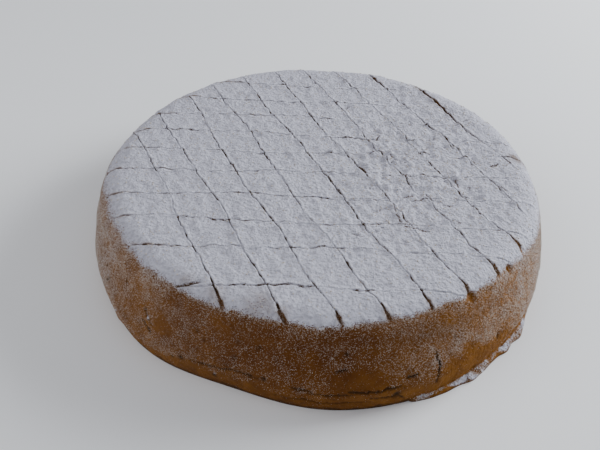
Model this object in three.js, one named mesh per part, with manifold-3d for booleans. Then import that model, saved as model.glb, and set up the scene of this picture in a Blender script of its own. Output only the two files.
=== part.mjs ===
// Apple pie turned out of a springform tin: one uncut round of baked pastry and apple.
// Its flat top is scored by hand into diamonds, and the cuts run out over the rounded rim.
// Origin at the middle of the underside, +Z up, the side towards the eater at -Y.
import * as THREE from 'three';
import { mergeVertices } from 'three/addons/utils/BufferGeometryUtils.js';
import Module from 'manifold-3d';

// Driving dimensions of the round, in millimetres and degrees
const HEIGHT = 50;
const BASE_RADIUS = 131; // at the bulge, a little above the underside
const BULGE_HEIGHT = 15;
const BASE_TUCK = 2; // the wall draws in again below the bulge
const WALL_TOP_RADIUS = 122.8;
const SHOULDER_RADIUS = 15.5; // rounding from the wall to the flat top
const SHOULDER_START = HEIGHT - SHOULDER_RADIUS;
const WALL_SWELL = 0.8; // the wall swells out between bulge and shoulder

// The outline is pressed by hand: each wave has an order, a size and the direction of one crest
const BASE_WAVES = [
  { order: 1, size: 0.6, crest: 337 },
  { order: 2, size: 1.4, crest: 50 },
  { order: 7, size: 0.5, crest: 20 },
  { order: 11, size: 0.35, crest: 5 },
];
const TOP_WAVES = [
  { order: 2, size: 2.7, crest: 13 },
  { order: 9, size: 0.4, crest: 30 },
];
const FLATTENED = { angle: 255, depth: 5.8, spread: 23 }; // the foot was pushed in at the front

// Thin lip of pastry that was squeezed out under the tin's ring
const LIP = { from: 292, to: 336, reach: 5, thickness: 1.8, ragged: 0.15, waves: 3 };

// Score cuts in two directions, each with its distance from the centre and its turn from the others
const SCORE_WIDTH = 1.6;
const SCORE_DEPTH = 1.6;
const SCORE_STEP = 11; // spacing of the points along a cut
const RIM_FALL = 6; // how far down the shoulder a cut follows the surface
const SLANTED_CUTS = {
  normal: 30,
  offsets: [-89, -68, -47.5, -27, -4, 17, 36.5, 58, 79.3, 99.7],
  turns: [0, 0.3, -0.4, -0.2, 0.2, 0, -0.5, -0.3, 0.3, 0.4],
  swings: [-1.5, 1, 4, 2, 0.5, 2.5, 4.5, 4.5, 1, 0], // aside at the end nearest the eater
};
const CROSS_CUTS = {
  normal: 92,
  offsets: [-95.6, -69.7, -50.4, -29.7, -8.3, 11, 28.1, 47.2, 66, 86],
  turns: [1.5, 0.3, 0, 1, 1.4, 2, 0.1, -0.2, 0, 0],
};
const OPEN_CUT = { index: 9, width: 3.2, depth: 3 }; // the last slanted cut gapes

// The knife wanders from a straight line by two slow waves and swings aside before it leaves the top
const WANDER = [
  { size: 1.1, length: 22, shift: 1.9 },
  { size: 0.5, length: 9, shift: 2.7 },
];
const SWING_LENGTH = 32;

// Upright crack in the wall and a chip out of the rim
const CRACK = { angle: 299, heights: [8, BULGE_HEIGHT, 21, 28, 33], width: 1.3, depth: 2.2 };
const CHIP = { angle: 309.5, radius: 118, height: 46.5, length: 6.5, breadth: 3.6, depth: 2.6, tilt: 35 };

const SEGMENTS = 96;
const WALL_HEIGHTS = [3.2, 9, BULGE_HEIGHT, 21, 28]; // rings between the lip and the shoulder
const SHOULDER_ANGLES = [90, 66, 44, 24, 0]; // from the wall up to the flat top
const CLEARANCE = 2; // cutters stand this far out of the pastry

const radians = THREE.MathUtils.degToRad;

function wavy(radius, waves, angle) {
  return waves.reduce((sum, w) => sum + w.size * Math.cos(w.order * (angle - radians(w.crest))), radius);
}

function baseRadius(angle) {
  const turn = THREE.MathUtils.radToDeg(angle) - FLATTENED.angle;
  const away = THREE.MathUtils.euclideanModulo(turn + 180, 360) - 180;
  const dent = FLATTENED.depth * Math.exp(-((away / FLATTENED.spread) ** 2));
  return wavy(BASE_RADIUS, BASE_WAVES, angle) - dent;
}

const wallTopRadius = (angle) => wavy(WALL_TOP_RADIUS, TOP_WAVES, angle);

// Reach of the lip, with a soft start and end and a slightly ragged edge
function lipReach(angle) {
  const turn = THREE.MathUtils.euclideanModulo(THREE.MathUtils.radToDeg(angle), 360);
  const along = (turn - LIP.from) / (LIP.to - LIP.from);
  if (along <= 0 || along >= 1) return 0;
  const ragged = 1 - LIP.ragged * (1 - Math.sin(2 * Math.PI * LIP.waves * along));
  return LIP.reach * Math.sqrt(Math.sin(Math.PI * along)) * ragged;
}

// Radius of the wall between the lip and the shoulder
function wallRadius(angle, height) {
  const base = baseRadius(angle);
  const share = (height - BULGE_HEIGHT) / (SHOULDER_START - BULGE_HEIGHT);
  if (share < 0) return base - BASE_TUCK * (1 - height / BULGE_HEIGHT) ** 2;
  return THREE.MathUtils.lerp(base, wallTopRadius(angle), share) + WALL_SWELL * Math.sin(Math.PI * share);
}

// Radius and height of every ring from the underside's edge up to the edge of the flat top
function profile(angle) {
  const lipRadius = wallRadius(angle, 0) + lipReach(angle);
  const rings = [
    [lipRadius, 0],
    [lipRadius, LIP.thickness],
  ];
  for (const height of WALL_HEIGHTS) {
    rings.push([wallRadius(angle, height), height]);
  }
  for (const degrees of SHOULDER_ANGLES) {
    const slope = radians(degrees);
    const radius = wallTopRadius(angle) - SHOULDER_RADIUS * (1 - Math.sin(slope));
    rings.push([radius, HEIGHT - SHOULDER_RADIUS * (1 - Math.cos(slope))]);
  }
  return rings;
}

// Height of the top where a cut passes, followed only part of the way down the shoulder
function scoredHeight(x, y) {
  const flat = wallTopRadius(Math.atan2(y, x)) - SHOULDER_RADIUS;
  const out = THREE.MathUtils.clamp((Math.hypot(x, y) - flat) / SHOULDER_RADIUS, 0, 1);
  const fall = SHOULDER_RADIUS * (1 - Math.sqrt(1 - out * out));
  return HEIGHT - Math.min(fall, RIM_FALL);
}

function meshGeometry(points, triangles) {
  const geometry = new THREE.BufferGeometry();
  geometry.setAttribute('position', new THREE.Float32BufferAttribute(points.flat(), 3));
  geometry.setIndex(triangles.flat());
  return geometry;
}

// Closed skin over a row of rings with equal counts, each ring turning anticlockwise seen from the far end
function skinGeometry(rings) {
  const count = rings[0].length;
  const points = rings.flat();
  const triangles = [];
  for (let row = 0; row + 1 < rings.length; row++) {
    for (let side = 0; side < count; side++) {
      const next = (side + 1) % count;
      const [a, b] = [row * count + side, row * count + next];
      const [c, d] = [a + count, b + count];
      triangles.push([a, b, d], [a, d, c]);
    }
  }
  const centre = (ring) => [0, 1, 2].map((axis) => ring.reduce((sum, p) => sum + p[axis], 0) / count);
  const [start, end] = [points.length, points.length + 1];
  points.push(centre(rings[0]), centre(rings.at(-1)));
  const last = (rings.length - 1) * count;
  for (let side = 0; side < count; side++) {
    const next = (side + 1) % count;
    triangles.push([start, next, side], [end, last + side, last + next]);
  }
  return meshGeometry(points, triangles);
}

function roundGeometry() {
  const angles = Array.from({ length: SEGMENTS }, (_, step) => (step / SEGMENTS) * 2 * Math.PI);
  const profiles = angles.map(profile);
  const rings = profiles[0].map((_, row) =>
    angles.map((angle, step) => {
      const [radius, height] = profiles[step][row];
      return [radius * Math.cos(angle), radius * Math.sin(angle), height];
    }),
  );
  return skinGeometry(rings);
}

// Blade with a V edge that follows the surface along one score cut
function bladeGeometry(family, index, width, depth) {
  const facing = radians(family.normal + family.turns[index]);
  const [nx, ny] = [Math.cos(facing), Math.sin(facing)];
  const offset = family.offsets[index];
  const swing = family.swings ? family.swings[index] : 0;
  const rim = -Math.sqrt(WALL_TOP_RADIUS ** 2 - offset ** 2);
  const half = Math.sqrt((WALL_TOP_RADIUS + CLEARANCE + SCORE_STEP) ** 2 - offset ** 2);
  const steps = Math.ceil((2 * half) / SCORE_STEP);
  const rings = [];
  for (let step = 0; step <= steps; step++) {
    const along = -half + (2 * half * step) / steps;
    const wander = WANDER.reduce((sum, w) => sum + w.size * Math.sin(along / w.length + w.shift * index), 0);
    const aside = swing * (1 - THREE.MathUtils.smoothstep(along, rim, rim + SWING_LENGTH));
    const across = (side) => {
      const out = offset + wander + aside + side;
      return [out * nx - along * ny, out * ny + along * nx];
    };
    const surface = scoredHeight(...across(0));
    const top = HEIGHT + CLEARANCE;
    rings.push([
      [...across(0), surface - depth],
      [...across(-width / 2), surface],
      [...across(-width / 2), top],
      [...across(width / 2), top],
      [...across(width / 2), surface],
    ]);
  }
  return skinGeometry(rings);
}

// Thin wedge that opens the upright crack, following the wall
function crackGeometry() {
  const angle = radians(CRACK.angle);
  const corner = (radius, side, height) => [
    radius * Math.cos(angle) - side * Math.sin(angle),
    radius * Math.sin(angle) + side * Math.cos(angle),
    height,
  ];
  const flare = (CRACK.width / 2) * (1 + CLEARANCE / CRACK.depth);
  const rings = CRACK.heights.map((height) => {
    const wall = wallRadius(angle, height);
    return [
      corner(wall - CRACK.depth, 0, height),
      corner(wall + CLEARANCE, -flare, height),
      corner(wall + CLEARANCE, flare, height),
    ];
  });
  return skinGeometry(rings);
}

function chipGeometry() {
  const geometry = new THREE.IcosahedronGeometry(1, 1);
  geometry.scale(CHIP.breadth, CHIP.length, CHIP.depth);
  geometry.rotateY(radians(CHIP.tilt));
  geometry.translate(CHIP.radius, 0, CHIP.height);
  geometry.rotateZ(radians(CHIP.angle));
  return geometry;
}

const wasm = await Module();
wasm.setup();

function solid(geometry) {
  geometry.deleteAttribute('normal');
  geometry.deleteAttribute('uv');
  const merged = mergeVertices(geometry, 1e-4);
  const vertProperties = new Float32Array(merged.attributes.position.array);
  const triVerts = new Uint32Array(merged.index.array);
  return new wasm.Manifold(new wasm.Mesh({ numProp: 3, vertProperties, triVerts }));
}

function cutRound() {
  let pastry = solid(roundGeometry());
  for (const family of [SLANTED_CUTS, CROSS_CUTS]) {
    family.offsets.forEach((_, index) => {
      const open = family === SLANTED_CUTS && index === OPEN_CUT.index;
      const width = open ? OPEN_CUT.width : SCORE_WIDTH;
      const depth = open ? OPEN_CUT.depth : SCORE_DEPTH;
      pastry = pastry.subtract(solid(bladeGeometry(family, index, width, depth)));
    });
  }
  pastry = pastry.subtract(solid(crackGeometry())).subtract(solid(chipGeometry()));
  const { vertProperties, triVerts } = pastry.getMesh();
  const geometry = new THREE.BufferGeometry();
  geometry.setAttribute('position', new THREE.BufferAttribute(vertProperties, 3));
  geometry.setIndex(new THREE.BufferAttribute(triVerts, 1));
  return geometry;
}

// The underside's box is centred on the origin
function centred(geometry) {
  geometry.computeBoundingBox();
  const middle = geometry.boundingBox.getCenter(new THREE.Vector3());
  return geometry.translate(-middle.x, -middle.y, 0);
}

const crust = new THREE.MeshStandardMaterial({ color: 0x8a5a2b, roughness: 0.85, metalness: 0 });
const pie = new THREE.Mesh(centred(cutRound()), crust);
pie.name = 'pie';

const group = new THREE.Group();
group.add(pie);

export default group;
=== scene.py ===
from collections import namedtuple
from math import pi

import bpy
import numpy as np
from mathutils import Matrix, Vector
from mathutils.geometry import delaunay_2d_cdt


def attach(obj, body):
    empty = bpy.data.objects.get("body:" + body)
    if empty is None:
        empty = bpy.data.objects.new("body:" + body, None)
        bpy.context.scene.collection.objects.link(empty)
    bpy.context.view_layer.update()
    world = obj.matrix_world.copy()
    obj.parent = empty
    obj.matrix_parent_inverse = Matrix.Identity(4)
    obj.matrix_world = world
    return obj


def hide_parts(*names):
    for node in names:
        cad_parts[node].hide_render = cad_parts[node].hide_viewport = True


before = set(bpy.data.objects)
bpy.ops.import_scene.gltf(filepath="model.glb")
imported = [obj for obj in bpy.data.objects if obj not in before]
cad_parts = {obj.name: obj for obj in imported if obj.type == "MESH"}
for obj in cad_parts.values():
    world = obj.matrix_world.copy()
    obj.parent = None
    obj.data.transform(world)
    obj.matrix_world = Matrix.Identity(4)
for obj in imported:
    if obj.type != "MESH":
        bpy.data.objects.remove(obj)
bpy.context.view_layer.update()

# View of the pie
# The picture is taken from the front at about 40 cm, looking down at the scored top,
# with the camera turned a little so that the right side hangs lower.
MM = 0.001
PICTURE_WIDTH = 600
PICTURE_MIDDLE = (300, 225)
AXIS_PIXEL = (323.7, 164.0)
FOCAL_PIXELS = 700
SENSOR_WIDTH = 36
VIEW_TARGET = Vector((-0.5, -0.9, 50.0))
VIEW_DISTANCE = 402.5
VIEW_ELEVATION = np.radians(37.0)
VIEW_ROLL = np.radians(3.67)

lens = bpy.data.cameras.new("view")
lens.sensor_width = SENSOR_WIDTH
lens.lens = SENSOR_WIDTH * FOCAL_PIXELS / PICTURE_WIDTH
lens.shift_x = (PICTURE_MIDDLE[0] - AXIS_PIXEL[0]) / PICTURE_WIDTH
lens.shift_y = (AXIS_PIXEL[1] - PICTURE_MIDDLE[1]) / PICTURE_WIDTH
view = bpy.data.objects.new("view", lens)
bpy.context.collection.objects.link(view)
towards_view = Vector((0, -np.cos(VIEW_ELEVATION), np.sin(VIEW_ELEVATION)))
upright = (-towards_view).to_track_quat("-Z", "Y").to_matrix().to_4x4()
place = Matrix.Translation((VIEW_TARGET + VIEW_DISTANCE * towards_view) * MM)
view.matrix_world = place @ upright @ Matrix.Rotation(VIEW_ROLL, 4, "Z")
bpy.context.scene.camera = view

# Floor and light
# A plain pale floor under one large soft light from the right and a little behind,
# with a weak fill so that the near wall of the pie lies in soft shade. Sizes are in metres.
FLOOR_SIZE = 30
FLOOR_COLOUR = (0.95, 0.95, 0.96, 1)
FLOOR_ROUGHNESS = 0.9
ROOM_COLOUR = (0.86, 0.91, 1.0, 1)
ROOM_STRENGTH = 0.4

bpy.ops.mesh.primitive_plane_add(size=FLOOR_SIZE)
floor = bpy.context.object
floor.name = "floor"
floor_paint = bpy.data.materials.new("floor_paint")
floor_paint.use_nodes = True
paint_sockets = floor_paint.node_tree.nodes["Principled BSDF"].inputs
paint_sockets["Base Color"].default_value = FLOOR_COLOUR
paint_sockets["Roughness"].default_value = FLOOR_ROUGHNESS
floor.data.materials.append(floor_paint)

room = bpy.data.worlds.new("room")
bpy.context.scene.world = room
room.use_nodes = True
room_sockets = room.node_tree.nodes["Background"].inputs
room_sockets["Color"].default_value = ROOM_COLOUR
room_sockets["Strength"].default_value = ROOM_STRENGTH


def soft_light(name, place, size, power, colour):
    """Large soft light that faces the pie."""
    light = bpy.data.lights.new(name, "AREA")
    light.size = size
    light.energy = power
    light.color = colour
    lamp = bpy.data.objects.new(name, light)
    lamp.location = place
    lamp.rotation_euler = (-Vector(place)).to_track_quat("-Z", "Y").to_euler()
    bpy.context.collection.objects.link(lamp)


soft_light("window", place=(1.05, 0.5, 0.55), size=0.7, power=24, colour=(0.93, 0.97, 1.0))
soft_light("fill", place=(-1.0, -0.35, 0.8), size=1.2, power=7, colour=(1.0, 0.98, 0.96))

# Sugared crust
# The pie is one round of short pastry filled with apple, baked in a ring tin and turned out.
# The top was scored with a knife in two directions and dusted thickly with icing sugar,
# which lies as a crust of powder up to the rim and as loose dust on the browned wall.

# Form of the baked round, in millimetres, with directions in degrees from the right towards the back
HEIGHT = 50
BASE_RADIUS = 131
BULGE_HEIGHT = 15
BASE_TUCK = 2
WALL_TOP_RADIUS = 122.8
WALL_SWELL = 0.8
SHOULDER = 15.5
SHOULDER_START = HEIGHT - SHOULDER
FOOT_HEIGHT = 3.2
BASE_WAVES = [(1, 0.6, 337), (2, 1.4, 50), (7, 0.5, 20), (11, 0.35, 5)]
TOP_WAVES = [(2, 2.7, 13), (9, 0.4, 30)]
FLATTENED_AT = 255
FLATTENED_DEPTH = 5.8
FLATTENED_SPREAD = 23
LIP_FROM = 292
LIP_TO = 336
LIP_REACH = 5
LIP_THICKNESS = 1.8
LIP_SCALLOPS = 3
LIP_SCALLOP_DEPTH = 0.15
LIP_TEAR_DEPTH = 0.2
LIP_TEAR_PERCENT = 7
LIP_TEAR_SEED = 41
NOISE_CELLS = 64


def wavy(radius, waves, angle):
    """Radius with hand-pressed waves, each with an order, a size and the direction of one crest."""
    return radius + sum(size * np.cos(order * (angle - np.radians(crest))) for order, size, crest in waves)


def turn_from(angle, direction):
    """Signed turn in degrees from a direction in degrees."""
    return (np.degrees(angle) - direction + 180) % 360 - 180


def bell(offset, spread, power=2):
    """Round bump that is 1 at no offset and has a flatter top with a higher power."""
    return np.exp(-((offset / spread) ** power))


def ease(share):
    """Share from 0 to 1 that starts and ends gently."""
    return share * share * (3 - 2 * share)


def share_of(value, start, run):
    """How much of a run past its start a value has covered, from 0 to 1."""
    return np.clip((value - start) / run, 0, 1)


def smooth(value, low, high):
    """Gentle step from 0 at the low value to 1 at the high one."""
    return ease(share_of(value, low, high - low))


def lumps(x, y, size, seed):
    """Smooth noise from -1 to 1 with lumps of a size in millimetres."""
    levels = np.random.default_rng(seed).uniform(-1, 1, (NOISE_CELLS, NOISE_CELLS))
    column = np.floor(x / size).astype(int)
    row = np.floor(y / size).astype(int)
    right = ease(x / size - column)
    up = ease(y / size - row)

    def corner(columns_on, rows_on):
        return levels[(column + columns_on) % NOISE_CELLS, (row + rows_on) % NOISE_CELLS]

    low = corner(0, 0) * (1 - right) + corner(1, 0) * right
    high = corner(0, 1) * (1 - right) + corner(1, 1) * right
    return low * (1 - up) + high * up


def base_radius(angle):
    """Radius of the wall at its widest, with the flattened stretch at the front."""
    dent = FLATTENED_DEPTH * bell(turn_from(angle, FLATTENED_AT), FLATTENED_SPREAD)
    return wavy(BASE_RADIUS, BASE_WAVES, angle) - dent


def wall_top_radius(angle):
    """Radius where the shoulder starts to round over."""
    return wavy(WALL_TOP_RADIUS, TOP_WAVES, angle)


def lip_reach(angle):
    """How far the ragged lip of pressed-out pastry stands out of the foot."""
    along = np.clip((np.degrees(angle) % 360 - LIP_FROM) / (LIP_TO - LIP_FROM), 0, 1)
    scallops = 1 - LIP_SCALLOP_DEPTH + LIP_SCALLOP_DEPTH * np.sin(2 * pi * LIP_SCALLOPS * along)
    tears = LIP_TEAR_DEPTH * lumps(along * 100, 0 * along, LIP_TEAR_PERCENT, LIP_TEAR_SEED)
    return LIP_REACH * np.sqrt(np.abs(np.sin(pi * along))) * (scallops + tears)


def wall_radius(angle, height):
    """Radius of the wall at a height, tucked in below its bulge."""
    base = base_radius(angle)
    share = (height - BULGE_HEIGHT) / (SHOULDER_START - BULGE_HEIGHT)
    swell = WALL_SWELL * np.sin(pi * np.clip(share, 0, 1))
    above = base + share * (wall_top_radius(angle) - base) + swell
    below = base - BASE_TUCK * (1 - height / BULGE_HEIGHT) ** 2
    return np.where(share < 0, below, above)


# The skin is laid out flat as a disc: the top in the middle, then the shoulder, the wall and the lip
SHOULDER_RUN = SHOULDER * pi / 2
WALL_RUN = 33
LIP_RUN = 4
LIP_SIDE_RUN = 2
SKIN_RUN = SHOULDER_RUN + WALL_RUN + LIP_RUN + LIP_SIDE_RUN
OUTLINE_STEPS = 96

step_angles = np.arange(OUTLINE_STEPS) / OUTLINE_STEPS * 2 * pi
widest = np.maximum(base_radius(step_angles), wall_radius(step_angles, 0) + lip_reach(step_angles))
outline = np.stack([widest * np.cos(step_angles), widest * np.sin(step_angles)], 1)
outline_middle = (outline.max(0) + outline.min(0)) / 2


def flat_edge(angle):
    """Radius of the flat top."""
    return wall_top_radius(angle) - SHOULDER


def fold_down(disc):
    """Places of the flat disc's points on the smooth skin, with their angle and run past the flat top."""
    angle = np.arctan2(disc[:, 1], disc[:, 0])
    run = np.hypot(disc[:, 0], disc[:, 1]) - flat_edge(angle)
    bend = np.clip(run / SHOULDER, 0, pi / 2)
    radius = flat_edge(angle) + np.minimum(run, 0) + SHOULDER * np.sin(bend)
    height = HEIGHT - SHOULDER * (1 - np.cos(bend))
    below_shoulder = run > SHOULDER_RUN
    down = share_of(run, SHOULDER_RUN, WALL_RUN)
    height = np.where(below_shoulder, SHOULDER_START + down * (FOOT_HEIGHT - SHOULDER_START), height)
    radius = np.where(below_shoulder, wall_radius(angle, height), radius)
    out = share_of(run, SHOULDER_RUN + WALL_RUN, LIP_RUN)
    lip_radius = wall_radius(angle, 0) + lip_reach(angle)
    radius = np.where(out > 0, radius + out * (lip_radius - radius), radius)
    height = height + out * (LIP_THICKNESS - FOOT_HEIGHT)
    height = height - LIP_THICKNESS * share_of(run, SHOULDER_RUN + WALL_RUN + LIP_RUN, LIP_SIDE_RUN)
    skin = np.stack([radius * np.cos(angle), radius * np.sin(angle), height], 1)
    return skin, angle, run


def in_disc(direction, run):
    """Place in the flat disc by its direction in degrees and its run past the flat top."""
    turn = np.radians(direction)
    return (flat_edge(turn) + run) * np.array([np.cos(turn), np.sin(turn)])


def on_wall(direction, height):
    """Place in the flat disc of a spot on the wall."""
    down = WALL_RUN * (SHOULDER_START - height) / (SHOULDER_START - FOOT_HEIGHT)
    return in_disc(direction, SHOULDER_RUN + down)


# Knife cuts: ten slanted ones, and ten across that are more filled with sugar towards the right
SLANTED_NORMAL = 30
SLANTED_OFFSETS = [-89, -68, -47.5, -27, -4, 17, 36.5, 58, 79.3, 99.7]
SLANTED_TURNS = [0, 0.3, -0.4, -0.2, 0.2, 0, -0.5, -0.3, 0.3, 0.4]
SLANTED_SWINGS = [-1.5, 1, 4, 2, 0.5, 2.5, 4.5, 4.5, 1, 0]
SLANTED_SEED = 150
CROSS_NORMAL = 92
CROSS_OFFSETS = [-95.6, -69.7, -50.4, -29.7, -8.3, 11, 28.1, 47.2, 66, 86]
CROSS_TURNS = [1.5, 0.3, 0, 1, 1.4, 2, 0.1, -0.2, 0, 0]
CROSS_SWINGS = [0] * len(CROSS_OFFSETS)
CROSS_SEED = 100
SWING_LENGTH = 32
WANDER = [(1.1, 22, 1.9), (0.5, 9, 2.7)]
JITTER = [(0.4, 5), (0.28, 2.2)]
CRACKLED_MIDDLE = np.array((46, 2))
CRACKLED_REACH = np.array((42, 60))
CRACKLE_SHIFT = 0.8
CRACKLE_STEEPNESS = 3
CRACKLE_LENGTH = 7
CRACKLE_SEED_STEP = 5

Cut = namedtuple("Cut", "slanted index facing offset swing seed")


def cut_family(slanted, normal, offsets, turns, swings, first_seed):
    """Cuts of one direction, each with its facing, offset, swing at the near rim and noise seed."""
    facings = np.radians(normal + np.array(turns))
    return [
        Cut(slanted, index, facing, offset, swing, first_seed + index)
        for index, (facing, offset, swing) in enumerate(zip(facings, offsets, swings))
    ]


slanted_cuts = cut_family(
    True, SLANTED_NORMAL, SLANTED_OFFSETS, SLANTED_TURNS, SLANTED_SWINGS, SLANTED_SEED)
cross_cuts = cut_family(False, CROSS_NORMAL, CROSS_OFFSETS, CROSS_TURNS, CROSS_SWINGS, CROSS_SEED)
cuts = slanted_cuts + cross_cuts
faded_cut = slanted_cuts[0]
torn_cut = slanted_cuts[-2]
open_cut = slanted_cuts[-1]
scuffed_cut = cross_cuts[0]


def crackled(x, y):
    """Share of the crackled patch at places on the top, 1 in its middle."""
    return np.exp(-(((np.stack([x, y], -1) - CRACKLED_MIDDLE) / CRACKLED_REACH) ** 2).sum(-1))


def wobble(along, length, seed):
    """Smooth noise from -1 to 1 along a cut."""
    return lumps(along, 0 * along, length, seed)


def beside_cut(cut, out, along):
    """Places seen from above at a distance out along the cut's facing and a distance along the cut."""
    x = out * np.cos(cut.facing) - along * np.sin(cut.facing)
    y = out * np.sin(cut.facing) + along * np.cos(cut.facing)
    return x, y


def wander(along, cut):
    """How far a cut strays sideways from its straight line."""
    patch = crackled(*beside_cut(cut, cut.offset, along))
    near_rim = -np.sqrt(WALL_TOP_RADIUS**2 - cut.offset**2)
    jump = np.tanh(CRACKLE_STEEPNESS * wobble(along, CRACKLE_LENGTH, cut.seed + CRACKLE_SEED_STEP))
    stray = sum(size * np.sin(along / length + shift * cut.index) for size, length, shift in WANDER)
    stray = stray + sum(size * wobble(along, length, cut.seed) for size, length in JITTER)
    stray = stray + cut.swing * (1 - smooth(along, near_rim, near_rim + SWING_LENGTH))
    return stray + CRACKLE_SHIFT * patch * jump


def from_cut(cut, x, y):
    """Distance of points from a cut, across it and along it."""
    along = y * np.cos(cut.facing) - x * np.sin(cut.facing)
    across = x * np.cos(cut.facing) + y * np.sin(cut.facing) - cut.offset - wander(along, cut)
    return across, along


# How far the cuts gape, from 0 where sugar fills them to 1
# Unevenness along a cut has an amount, the length of a swell and a step from the cut's own seed
SLOW_GAPE = (0.36, 14, 3)
QUICK_GAPE = (0.4, 3.4, 7)
CRACKLED_GAPE = (0.55, 6, 11)
CRACKLED_FILL = 0.06
SLANTED_GAPE = 0.52
SLANTED_CROSSING_GAPE = 0.2
SLANTED_CROSSING_REACH = 3.5
NOTCHED_TO_THE_LEFT_OF = 105
NEAR_RIM_GAPE = 0.6
FAR_RIM_FILL = 0.35
RIM_GAPE_RUN = 6
CROSS_GAPE = 0.56
CROSS_CROSSING_GAPE = 0.12
CROSS_CROSSING_REACH = 3
RIGHT_FILL = 0.34
RIGHT_FILL_BETWEEN = (-20, 60)
LEFT_RIM_GAPE = 0.15
LEFT_RIM_RUN = 5
OPEN_BETWEEN = (-30, -8)
OPEN_GAPE = 0.9
TORN_BETWEEN = (52, 64)
TORN_GAPE = 0.7
SHUT_END_FILL = 0.15
SCUFFED_BETWEEN = (-56, -46)
SCUFFED_FILL = 0.6
FADED_FROM = -10
FADED_TO = 34
FADED_RUN = 6
FADED_FILL = 0.7


def uneven(cut, along, amount, length, seed_step):
    """Unevenness along a cut."""
    return amount * wobble(along, length, cut.seed + seed_step)


def over_near_rim(x, y):
    """Where slanted cuts run over the near rim as open notches; at the far rim and far right they close."""
    return (y < 0) & (x < NOTCHED_TO_THE_LEFT_OF)


def openness(cut, along, crossed, x, y, run):
    """How far a cut gapes, wider near the cuts that cross it and where it runs over the near rim."""
    gape = uneven(cut, along, *SLOW_GAPE) + uneven(cut, along, *QUICK_GAPE)
    gape = gape + crackled(x, y) * (uneven(cut, along, *CRACKLED_GAPE) - CRACKLED_FILL)
    if cut.slanted:
        gape = gape + SLANTED_GAPE + SLANTED_CROSSING_GAPE * bell(crossed, SLANTED_CROSSING_REACH)
        at_rim = np.where(over_near_rim(x, y), NEAR_RIM_GAPE, -FAR_RIM_FILL)
        gape = gape + at_rim * smooth(run, 0, RIM_GAPE_RUN)
    else:
        gape = gape + CROSS_GAPE - RIGHT_FILL * smooth(x, *RIGHT_FILL_BETWEEN)
        gape = gape + CROSS_CROSSING_GAPE * bell(crossed, CROSS_CROSSING_REACH)
        gape = gape + LEFT_RIM_GAPE * smooth(run, 0, LEFT_RIM_RUN) * (x < 0)
    if cut is open_cut:
        gape = gape + OPEN_GAPE * smooth(along, *OPEN_BETWEEN) - SHUT_END_FILL
    if cut is torn_cut:
        gape = gape + TORN_GAPE * smooth(along, *TORN_BETWEEN) - SHUT_END_FILL
    if cut is scuffed_cut:
        gape = gape - SCUFFED_FILL * (1 - smooth(x, *SCUFFED_BETWEEN))
    if cut is faded_cut:
        begun = smooth(along, FADED_FROM, FADED_FROM + FADED_RUN)
        ended = smooth(along, FADED_TO - FADED_RUN, FADED_TO)
        gape = gape - FADED_FILL * begun * (1 - ended)
    return np.clip(gape, 0, 1)


# Strokes: breaks in the crust of the top, a knife mark beside the rim, and seams and a crack in the wall
# Top strokes are given by places in the flat disc, and wall strokes by directions and heights
TOP_BREAKS = [
    ((26, 12), (31, 15)), ((33, 33), (31, 28)), ((50, 16), (55, 13)), ((38, 20), (41, 17)),
    ((58, 22), (61, 17)), ((75, 30), (77, 24)), ((66, -29), (71, -29)), ((57, -21), (61, -29)),
    ((5, -14), (9, -23)), ((75, -7), (76, -13)), ((77, -18), (80, -25)), ((107, 17), (110, 12)),
    ((97, 8), (102, 11)), ((106, -24), (109, -30)), ((38, -29), (40, -37)), ((40, -40), (43, -47)),
    ((44, -49), (56, -51)), ((81, -27), (85, -32)), ((82, 18), (89, 10)), ((98, -9), (103, -14)),
]
TOP_BREAK_HALF_WIDTH = 0.42
TOP_BREAK_DEPTH = 1.1
TOP_BREAK_DARKNESS = 0.8
TORN_SPOT = ((21, 0), (24.3, -6))
TORN_SPOT_HALF_WIDTH = 1.25
TORN_SPOT_DEPTH = 1.7
TORN_SPOT_DARKNESS = 0.8
KNIFE_ENTRY = ((-65.2, -98.2), (-60, -98), (-54.6, -96.6))
KNIFE_ENTRY_HALF_WIDTH = 0.75
KNIFE_ENTRY_DEPTH = 1.3
KNIFE_ENTRY_DARKNESS = 0.85

# Each wall stroke has its spots, half width, depth and darkness, and each pit its half width and darkness
WALL_STROKES = [
    ([(298, 27.5), (298.1, 24.5), (298.4, 20), (297.6, 16), (297.9, 11)], 0.36, 1.0, 0.65),
    ([(243, 13.6), (247, 14.2), (251, 16), (255, 16.8), (259, 16.6)], 0.4, 0.8, 0.4),
    ([(266.4, 16.2), (268.4, 15.2), (270.6, 14.4)], 0.5, 1.1, 0.5),
    ([(269.5, 13.4), (273, 13.6), (277, 15), (279, 14.6)], 0.45, 0.9, 0.5),
    ([(278, 16.2), (281, 15.4), (284.4, 15), (286, 16), (289, 16.4)], 0.5, 1.0, 0.65),
    ([(262, 7), (268, 7.8), (273, 7), (279, 8), (283, 7.4)], 0.45, 0.7, 0.35),
    ([(283, 10.4), (286, 10), (289, 8.6), (290.6, 5)], 0.5, 0.8, 0.6),
    ([(214.5, 23), (213.4, 19.5)], 0.5, 0.9, 0.7),
    ([(221.4, 33.4), (222.2, 32)], 0.5, 0.9, 0.6),
    ([(230.2, 28.5), (231.8, 25.5)], 0.6, 1.2, 0.8),
    ([(230, 23.5), (232.8, 19.5)], 0.45, 1.0, 0.6),
    ([(290.6, 19.4), (292, 20.2), (293, 20.2)], 0.55, 1.1, 0.75),
    ([(275.4, 26), (277.4, 26.8)], 0.45, 0.8, 0.6),
]
WALL_PITS = [
    (248.6, 7.5, 1.2, 1.0), (260.2, 17.2, 1.1, 1.0), (240.8, 12.7, 1.5, 0.8), (238.6, 11, 0.8, 0.8),
    (246, 14, 0.9, 0.9), (244, 31.8, 0.7, 0.8), (288.4, 11, 2.2, 0.85),
]
STRAY_PITS = 70
STRAY_PIT_HEIGHTS = (5, 34)
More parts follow.
